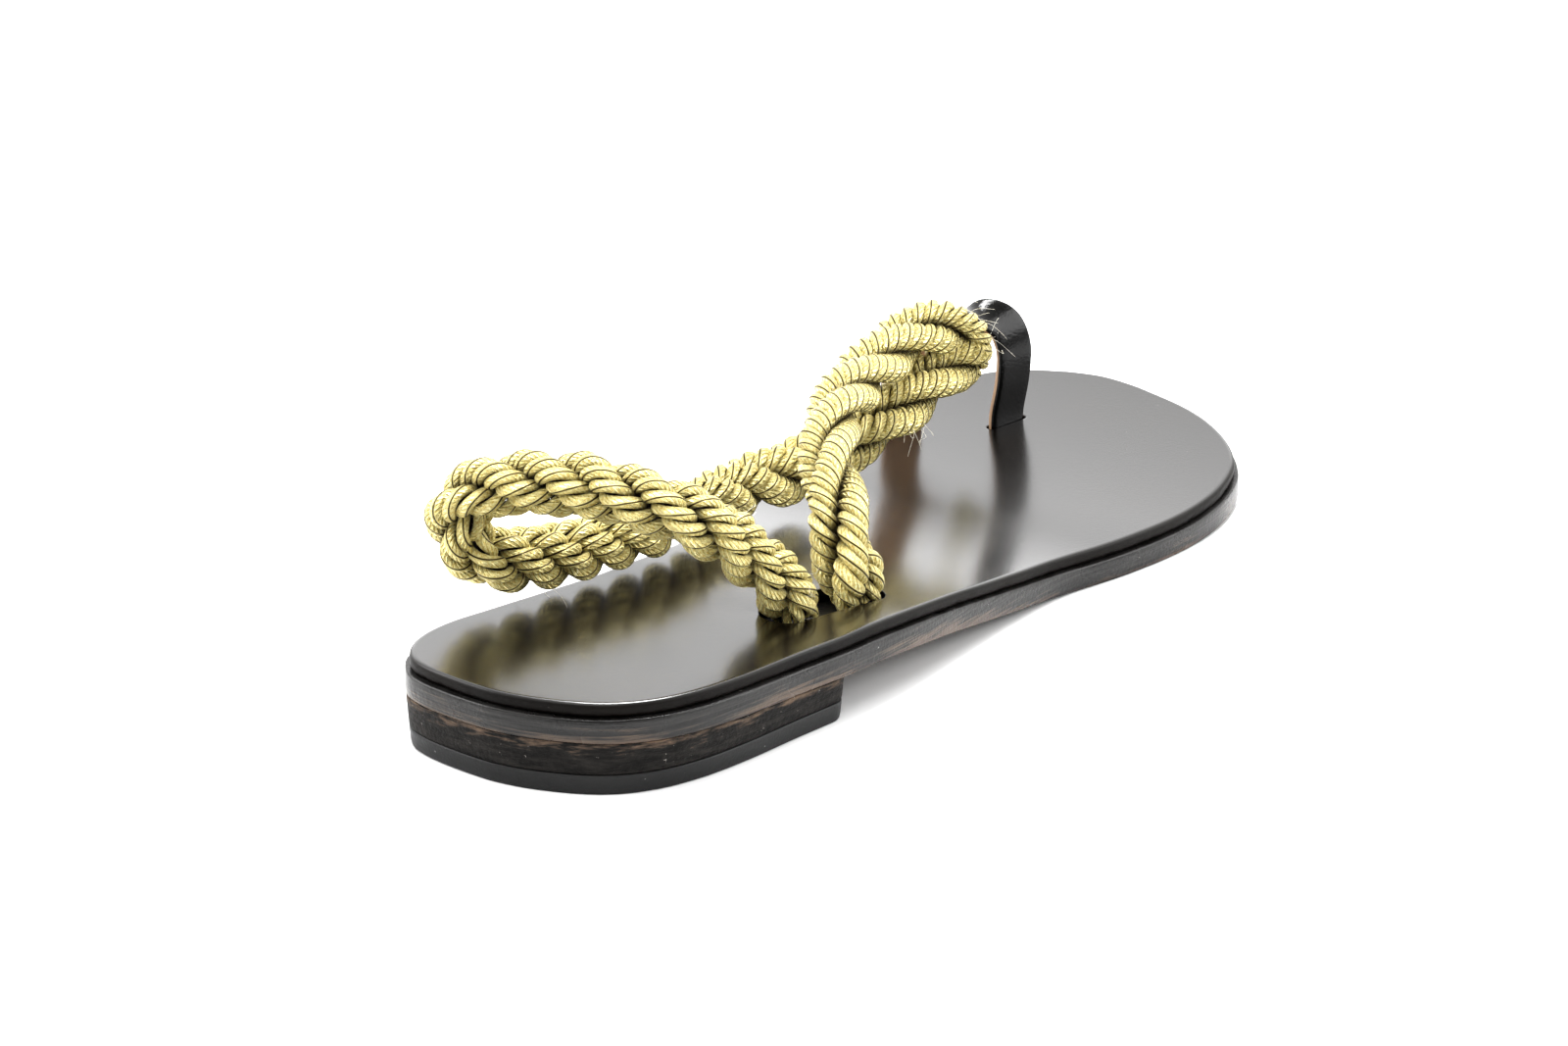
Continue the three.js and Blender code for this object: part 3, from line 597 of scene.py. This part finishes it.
def outerPoints(piece):
    # the outermost points of a strand in the sandal's own axes: co / mm - shift
    flat, depth = np.empty(len(piece.data.vertices) * 3), np.empty(len(piece.data.vertices))
    piece.data.vertices.foreach_get("co", flat)
    piece.data.attributes["depth"].data.foreach_get("value", depth)
    return (flat.reshape(-1, 3) / mm - shift)[depth > 0.88]    # depth is 1 at the rope's outside


def hairPiece(name, places, seed, surface):
    # loose hairs: each a thin bent tube that starts at one of the surface points nearest to its place
    hair = dict(radius=0.035, rows=14, sides=4, starts=160, curl=0.32)
    rng = np.random.default_rng(seed)
    parts = []
    for spot, count, length, lean in places:
        nearest = surface[np.argsort(((surface - np.array(spot)) ** 2).sum(1))[:hair["starts"]]]
        for n in range(count):
            t = np.linspace(0, 1, hair["rows"])[:, None]
            aim = unit(np.array(lean) + rng.normal(0, 0.55, 3))
            curl = unit(rng.normal(0, 1, 3))
            reach = length * rng.uniform(0.5, 1.15)
            path = (nearest[rng.integers(hair["starts"])] + aim * reach * t
                    + curl * reach * hair["curl"] * np.sin(t * np.pi * rng.uniform(0.6, 1.5)))
            outward, radius = np.tile(curl + 0.01, (hair["rows"], 1)), np.full(hair["rows"], hair["radius"])
            points, quads, tris, around = tube(path, outward, radius, 1.0, hair["sides"])
            parts.append((points, quads, tris, around, np.zeros(len(points)), np.ones(len(points))))
    return joined(name, parts)


# Shader helpers

def node(tree, kind, **values):
    made = tree.nodes.new(kind)
    for key, value in values.items():
        setattr(made, key, value)
    return made


def fill(tree, made, values):
    # each input, by name or by number, takes a link from a socket or else a plain value
    for label, source in values.items():
        if isinstance(source, bpy.types.NodeSocket):
            tree.links.new(source, made.inputs[label])
        else:
            made.inputs[label].default_value = source
    return made


def newMaterial(name):
    material = bpy.data.materials.new(name)
    material.use_nodes = True
    tree = material.node_tree
    tree.nodes.clear()
    shader = node(tree, "ShaderNodeBsdfPrincipled")
    fill(tree, node(tree, "ShaderNodeOutputMaterial"), {"Surface": shader.outputs[0]})
    return material, tree, shader


def math(tree, operation, *sources):
    return fill(tree, node(tree, "ShaderNodeMath", operation=operation), dict(enumerate(sources))).outputs[0]


def swing(tree, operation, turns):
    # 0.5 + 0.5 sin or cos (2 pi turns)
    wave = math(tree, operation, math(tree, "MULTIPLY", turns, 2 * np.pi))
    return math(tree, "MULTIPLY_ADD", wave, 0.5, 0.5)


def mixColour(tree, share, first, second):
    made = node(tree, "ShaderNodeMix", data_type="RGBA")
    first, second = (c if isinstance(c, bpy.types.NodeSocket) else (*c, 1.0) for c in (first, second))
    return fill(tree, made, {0: share, 6: first, 7: second}).outputs[2]


def ramp(tree, source, stops):
    # two stops, each a place and a level
    made = fill(tree, node(tree, "ShaderNodeValToRGB"), {0: source})
    for element, (place, level) in zip(made.color_ramp.elements, stops):
        element.position = place
        element.color = (level, level, level, 1)
    return made.outputs[0]


def noise(tree, vector, scale, detail=3.0, rough=0.5):
    values = {"Vector": vector, "Scale": scale, "Detail": detail, "Roughness": rough}
    return fill(tree, node(tree, "ShaderNodeTexNoise"), values).outputs[0]


def attribute(tree, name):
    return node(tree, "ShaderNodeAttribute", attribute_name=name).outputs["Fac"]


def objectPlace(tree):
    return node(tree, "ShaderNodeTexCoord").outputs["Object"]


def bump(tree, height, strength, distance):
    values = {"Strength": strength, "Distance": distance, "Height": height}
    return fill(tree, node(tree, "ShaderNodeBump"), values).outputs[0]


def newGroup(name, presets, results):
    # a group that takes a place and named numbers, and gives masks or heights
    group = bpy.data.node_groups.new(name, "ShaderNodeTree")
    group.interface.new_socket("Vector", in_out="INPUT", socket_type="NodeSocketVector")
    for label, preset in presets.items():
        group.interface.new_socket(label, in_out="INPUT", socket_type="NodeSocketFloat").default_value = preset
    for label in results:
        group.interface.new_socket(label, in_out="OUTPUT", socket_type="NodeSocketFloat")
    return group, group.nodes.new("NodeGroupInput").outputs, group.nodes.new("NodeGroupOutput")


def useGroup(tree, group, place, values):
    return fill(tree, node(tree, "ShaderNodeGroup", node_tree=group), {"Vector": place, **values}).outputs


def leatherGrainGroup():
    # height = fine pores + share of slow swells; the swells alone are a mottle for colour
    presets = {"Pore Scale": 900.0, "Swell Scale": 40.0, "Swell Share": 0.5}
    group, given, result = newGroup("leatherGrain", presets, ["Height", "Mottle"])
    fine = noise(group, given["Vector"], given["Pore Scale"], 2.0, 0.6)
    slow = noise(group, given["Vector"], given["Swell Scale"], 3.0, 0.5)
    height = math(group, "MULTIPLY_ADD", slow, given["Swell Share"], fine)
    fill(group, result, {"Height": height, "Mottle": slow})
    return group


def dustGroup():
    # pale specks where a fine noise passes the threshold: clamp(22 (noise - threshold))
    group, given, result = newGroup("dustSpecks", {"Scale": 420.0, "Threshold": 0.76}, ["Mask"])
    specks = noise(group, given["Vector"], given["Scale"], 2.0, 0.7)
    sharp = math(group, "MULTIPLY", math(group, "SUBTRACT", specks, given["Threshold"]), 22.0)
    fill(group, result, {"Mask": fill(group, node(group, "ShaderNodeClamp"), {0: sharp}).outputs[0]})
    return group


def streakGroup():
    # long streaks round the edge of a layer: noise over a place with z scaled apart from x and y
    group, given, result = newGroup("edgeStreaks", {"Across Scale": 1400.0, "Along Scale": 60.0}, ["Streak"])
    axes = fill(group, node(group, "ShaderNodeSeparateXYZ"), {0: given["Vector"]}).outputs
    scales = [given[label] for label in ("Along Scale", "Along Scale", "Across Scale")]
    scaled = [math(group, "MULTIPLY", *pair) for pair in zip(axes, scales)]
    place = fill(group, node(group, "ShaderNodeCombineXYZ"), dict(enumerate(scaled))).outputs[0]
    fill(group, result, {"Streak": noise(group, place, 1.0, 4.0, 0.6)})
    return group


grainGroup, specksGroup, streaksGroup = leatherGrainGroup(), dustGroup(), streakGroup()


def dusted(tree, place, tone, dust, scale, threshold, share=0.7):
    # the colour with specks of dust over it
    specks = useGroup(tree, specksGroup, place, {"Scale": scale, "Threshold": threshold})
    return mixColour(tree, math(tree, "MULTIPLY", specks["Mask"], share), tone, dust)


# Materials

def footbedMaterial():
    look = dict(black=(0.0016, 0.0015, 0.0014), brown=(0.005, 0.003, 0.0015), dust=(0.22, 0.21, 0.20))
    material, tree, shader = newMaterial("glossy_footbed_leather")
    place = objectPlace(tree)
    edge = attribute(tree, "edge")
    grain = useGroup(tree, grainGroup, place, {"Pore Scale": 1500.0, "Swell Scale": 45.0, "Swell Share": 0.55})
    tone = mixColour(tree, grain["Mottle"], look["black"], look["brown"])
    smear = math(tree, "MULTIPLY_ADD", noise(tree, place, 26.0, 4.0, 0.6), 0.24, 0.09)
    fill(tree, shader, {
        "Base Color": dusted(tree, place, tone, look["dust"], 700.0, 0.745, 0.6),
        "Roughness": math(tree, "MULTIPLY_ADD", edge, 0.35, smear),
        "Normal": bump(tree, grain["Height"], 0.10, 0.0004),
        "Coat Weight": math(tree, "SUBTRACT", 1.0, edge),
        "Coat Roughness": 0.19,
        "Specular IOR Level": 0.15})
    return material


def edgeMaterial():
    look = dict(black=(0.006, 0.0055, 0.005), grey=(0.026, 0.025, 0.024), brown=(0.075, 0.053, 0.038),
                dust=(0.35, 0.33, 0.31))
    material, tree, shader = newMaterial("painted_sole_edge")
    place = objectPlace(tree)
    streak = useGroup(tree, streaksGroup, place, {"Across Scale": 1500.0, "Along Scale": 55.0})["Streak"]
    grain = useGroup(tree, grainGroup, place, {"Pore Scale": 1100.0, "Swell Scale": 60.0, "Swell Share": 0.8})
    tone = mixColour(tree, ramp(tree, streak, [(0.38, 0.0), (0.72, 1.0)]), look["black"], look["grey"])
    # the paint is worn through where streaks and patches meet, less so towards the upper edge
    worn = math(tree, "MULTIPLY_ADD", noise(tree, place, 34.0, 3.0, 0.6), 1.8, -1.70)
    worn = math(tree, "SUBTRACT", math(tree, "MULTIPLY_ADD", streak, 2.6, worn), attribute(tree, "band"))
    tone = mixColour(tree, ramp(tree, worn, [(0.22, 0.0), (0.70, 1.0)]), tone, look["brown"])
    fill(tree, shader, {
        "Base Color": dusted(tree, place, tone, look["dust"], 520.0, 0.74),
        "Roughness": math(tree, "MULTIPLY_ADD", grain["Mottle"], 0.3, 0.14),
        "Normal": bump(tree, math(tree, "ADD", streak, grain["Height"]), 0.30, 0.0004),
        "Specular IOR Level": 0.30})
    return material


def liftMaterial():
    look = dict(black=(0.006, 0.0055, 0.005), grey=(0.024, 0.022, 0.020), brown=(0.10, 0.070, 0.050),
                dust=(0.30, 0.28, 0.26))
    material, tree, shader = newMaterial("rough_lift_leather")
    place = objectPlace(tree)
    streak = useGroup(tree, streaksGroup, place, {"Across Scale": 900.0, "Along Scale": 160.0})["Streak"]
    grain = useGroup(tree, grainGroup, place, {"Pore Scale": 700.0, "Swell Scale": 120.0, "Swell Share": 1.0})
    tone = mixColour(tree, ramp(tree, streak, [(0.38, 0.0), (0.72, 1.0)]), look["black"], look["grey"])
    # worn to brown in streaks, mostly near the top
    worn = math(tree, "MULTIPLY_ADD", streak, 2.0, math(tree, "SUBTRACT", attribute(tree, "band"), 1.75))
    tone = mixColour(tree, ramp(tree, worn, [(0.05, 0.0), (0.45, 1.0)]), tone, look["brown"])
    fill(tree, shader, {
        "Base Color": dusted(tree, place, tone, look["dust"], 950.0, 0.71),
        "Roughness": math(tree, "MULTIPLY_ADD", streak, 0.35, 0.45),
        "Normal": bump(tree, math(tree, "ADD", streak, grain["Height"]), 0.75, 0.0006),
        "Specular IOR Level": 0.12})
    return material


def rubberMaterial():
    look = dict(dark=(0.012, 0.012, 0.012), light=(0.026, 0.026, 0.026), dust=(0.30, 0.30, 0.29))
    material, tree, shader = newMaterial("top_piece_rubber")
    place = objectPlace(tree)
    grain = useGroup(tree, grainGroup, place, {"Pore Scale": 1300.0, "Swell Scale": 30.0, "Swell Share": 0.6})
    tone = mixColour(tree, grain["Mottle"], look["dark"], look["light"])
    fill(tree, shader, {
        "Base Color": dusted(tree, place, tone, look["dust"], 560.0, 0.73),
        "Roughness": math(tree, "MULTIPLY_ADD", grain["Mottle"], 0.25, 0.30),
        "Normal": bump(tree, grain["Height"], 0.25, 0.0003),
        "Specular IOR Level": 0.18})
    return material


def ringMaterial():
    look = dict(black=(0.003, 0.0028, 0.0026), tan=(0.62, 0.43, 0.30), dark=(0.30, 0.19, 0.12))
    material, tree, shader = newMaterial("ring_strip_leather")
    place = objectPlace(tree)
    grain = useGroup(tree, grainGroup, place, {"Pore Scale": 1400.0, "Swell Scale": 90.0, "Swell Share": 0.8})
    # black outside and tan on the flesh side, with a ragged line between them
    ragged = math(tree, "MULTIPLY_ADD", grain["Height"], 0.12, attribute(tree, "flesh"))
    inner = ramp(tree, math(tree, "SUBTRACT", 0.35, ragged), [(0.0, 0.0), (0.25, 1.0)])
    tan = mixColour(tree, grain["Mottle"], look["tan"], look["dark"])
    fill(tree, shader, {
        "Base Color": mixColour(tree, inner, look["black"], tan),
        "Roughness": math(tree, "MULTIPLY_ADD", inner, 0.5, 0.16),
        "Normal": bump(tree, grain["Height"], 0.25, 0.0003),
        "Specular IOR Level": 0.22})
    return material


def ropeMaterial():
    look = dict(light=(1.0, 0.92, 0.48), deep=(0.72, 0.55, 0.16), painted_crease_shade=(0.045, 0.030, 0.005))
    material, tree, shader = newMaterial("metallic_rope_yarn")
    place = objectPlace(tree)
    lay = node(tree, "ShaderNodeUVMap", uv_map="lay").outputs[0]
    around, run = fill(tree, node(tree, "ShaderNodeSeparateXYZ"), {0: lay}).outputs[:2]

    def windings(count, pitch, phase):
        # how many yarns lie between this place and the first: count around - run / pitch
        return math(tree, "MULTIPLY_ADD", around, count, math(tree, "MULTIPLY_ADD", run, -1.0 / pitch, phase))

    # one rounded ridge per yarn, and finer ones for its threads
    yarnTurns = windings(8.0, 1.0, 0.0)
    yarn, thread = swing(tree, "SINE", yarnTurns), swing(tree, "SINE", windings(17.0, 0.48, 0.3))
    # crinkles drawn out along the yarns: noise over (yarn number, place along it), for the bump and for
    # painted glints in the colour
    alongYarn = math(tree, "MULTIPLY", math(tree, "MULTIPLY_ADD", around, 3.0, run), 0.6)
    crinklePlace = fill(tree, node(tree, "ShaderNodeCombineXYZ"), {0: yarnTurns, 1: alongYarn})
    crinkleAndGlint = noise(tree, crinklePlace.outputs[0], 1.9, 3.0, 0.75)
    flecks = noise(tree, place, 1300.0, 3.0, 0.8)
    height = math(tree, "MULTIPLY_ADD", thread, 0.45, yarn)
    for part, share in ((flecks, 1.4), (crinkleAndGlint, 2.2), (noise(tree, place, 260.0, 2.0, 0.5), 0.8)):
        height = math(tree, "MULTIPLY_ADD", part, share, height)

    # pale yarns with painted shade in deep gold between them, and a painted crease shade where a cord turns
    # inward and down between the plies
    flank = swing(tree, "COSINE", around)
    # painted glints: where the crinkles rise, the deep gold turns to the pale tone
    tone = mixColour(tree, ramp(tree, crinkleAndGlint, [(0.36, 0.0), (0.56, 1.0)]), look["deep"], look["light"])
    for source, stops, colour in (
            (yarn, [(0.0, 0.50), (0.35, 0.0)], look["deep"]),
            (flank, [(0.20, 0.95), (0.46, 0.0)], look["painted_crease_shade"]),
            (attribute(tree, "depth"), [(0.46, 0.92), (0.74, 0.0)], look["painted_crease_shade"])):
        tone = mixColour(tree, ramp(tree, source, stops), tone, colour)
    fill(tree, shader, {
        "Base Color": tone,
        "Roughness": math(tree, "MULTIPLY_ADD", flecks, 0.35, 0.18),
        "Normal": bump(tree, height, 1.0, 0.0009),
        "Metallic": 0.7})
    return material


def hairMaterial():
    material, tree, shader = newMaterial("loose_hair")
    tone = mixColour(tree, noise(tree, objectPlace(tree), 300.0), (0.75, 0.70, 0.55), (0.90, 0.88, 0.80))
    fill(tree, shader, {"Base Color": tone, "Roughness": 0.4})
    return material


# Build

def dress(piece, material, slot, *nodes):
    piece.data.materials.append(material)
    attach(piece, "root")
    if nodes:
        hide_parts(*nodes)


dress(footbedPiece(), footbedMaterial(), "footbed_leather", "footbed")
print("footbed done")
dress(outsolePiece(), edgeMaterial(), "sole_edge", "outsole")
dress(heelLiftPiece(), liftMaterial(), "lift_leather", "heel_lift")
dress(topPiecePiece(), rubberMaterial(), "heel_rubber", "heel_top_piece")
print("sole and heel done")
dress(ringPiece(), ringMaterial(), "ring_leather", "toe_ring")
ropeYarn = ropeMaterial()
loopCords = joined("loop_strand_cords", strandParts(loopStrandRoute, rope["loopPhase"], 8))
lateralCords = joined("lateral_strand_cords", strandParts(lateralStrandRoute, rope["lateralPhase"], 3))
dress(loopCords, ropeYarn, "rope_yarn", "rope_upper")
dress(lateralCords, ropeYarn, "rope_yarn", "rope_upper")
frays = [    # where they start, how many, how long, which way they lean
    ((-15.0, 209.0, 38.0), 16, 8.0, (0.9, 0.6, -0.2)), ((-9.0, 171.0, 22.0), 8, 6.0, (0.5, -0.4, -0.8)),
    ((12.0, 70.0, 38.0), 10, 6.0, (0.3, 0.5, 0.8)), ((-24.0, 50.0, 22.0), 6, 6.0, (0.2, -0.3, -0.9)),
    ((-20.0, 190.0, 48.0), 8, 5.0, (-0.3, 0.1, 0.9)), ((24.0, 76.0, 24.0), 8, 5.0, (0.7, -0.6, 0.1))]
ropeSurface = np.vstack([outerPoints(loopCords), outerPoints(lateralCords)])
dress(hairPiece("rope_frays", frays, 21, ropeSurface), hairMaterial(), "rope_yarn")
print("rope done")


# Floor, light and camera

floorMesh = bpy.data.meshes.new("studio_floor")
floorMesh.from_pydata([(-4, -4, 0), (4, -4, 0), (4, 4, 0), (-4, 4, 0)], [], [(0, 1, 2, 3)])
floor = bpy.data.objects.new("studio_floor", floorMesh)
bpy.context.scene.collection.objects.link(floor)
floorMaterial, floorTree, floorShader = newMaterial("pale_floor")
fill(floorTree, floorShader, {"Base Color": (0.74, 0.74, 0.74, 1), "Roughness": 0.6})
floorMesh.materials.append(floorMaterial)

view = dict(turn=33.75, lift=22.0, distance=1.2, target=(-33.3, 156.185, 0.0), lens=115.11)


def axesOf(turn, lift):
    # back = (sin a cos e, -cos a cos e, sin e), right = (cos a, sin a, 0), up = back x right
    a, e = np.radians(turn), np.radians(lift)
    back = np.array([np.sin(a) * np.cos(e), -np.cos(a) * np.cos(e), np.sin(e)])
    right = np.array([np.cos(a), np.sin(a), 0.0])
    return right, np.cross(back, right), back


def placed(target, right, up, back, distance):
    at = target + back * distance
    return Matrix(np.column_stack([np.vstack([right, up, back]).T, at]).tolist() + [[0, 0, 0, 1]])


target = (np.array(view["target"]) + shift) * mm
cameraData = bpy.data.cameras.new("camera")
cameraData.lens = view["lens"]
cameraData.sensor_width = 36.0
cameraData.clip_start = 0.01
camera = bpy.data.objects.new("camera", cameraData)
bpy.context.scene.collection.objects.link(camera)
camera.matrix_world = placed(target, *axesOf(view["turn"], view["lift"]), view["distance"])
bpy.context.scene.camera = camera


def softbox(name, turn, lift, distance, size, power, target=(0.0, 0.0, 0.02)):
    data = bpy.data.lights.new(name, "AREA")
    data.shape = "RECTANGLE"
    data.size, data.size_y = size
    data.energy = power
    lamp = bpy.data.objects.new(name, data)
    bpy.context.scene.collection.objects.link(lamp)
    lamp.matrix_world = placed(np.array(target), *axesOf(turn, lift), distance)
    return lamp


softbox("left_softbox", -60, 32, 1.5, (1.0, 0.9), 20)
softbox("back_softbox", 205, 68, 1.5, (0.6, 0.5), 36)
softbox("right_softbox", 118, 26, 1.6, (1.2, 0.9), 20)
softbox("front_softbox", 20, 62, 1.5, (0.9, 0.7), 12)
world = bpy.data.worlds.new("studio")
world.use_nodes = True
# the room is white behind and beside the sandal and dark behind the camera: strength 1.75 down to 0.45
# as the direction's share towards the camera side goes from -0.45 to 0.35
roomTree = world.node_tree
cameraSide = (np.sin(np.radians(view["turn"])), -np.cos(np.radians(view["turn"])), 0.0)
direction = node(roomTree, "ShaderNodeTexCoord").outputs["Generated"]
facing = node(roomTree, "ShaderNodeVectorMath", operation="DOT_PRODUCT")
fill(roomTree, facing, {0: direction, 1: cameraSide})
room = node(roomTree, "ShaderNodeMapRange", clamp=True)
fill(roomTree, room, dict(enumerate([facing.outputs["Value"], -0.45, 0.35, 1.75, 0.45])))
fill(roomTree, roomTree.nodes["Background"], {0: (1, 1, 1, 1), 1: room.outputs[0]})
bpy.context.scene.world = world
bpy.context.scene.view_settings.view_transform = "Standard"
bpy.context.scene.view_settings.look = "Medium High Contrast"
print("stage done")
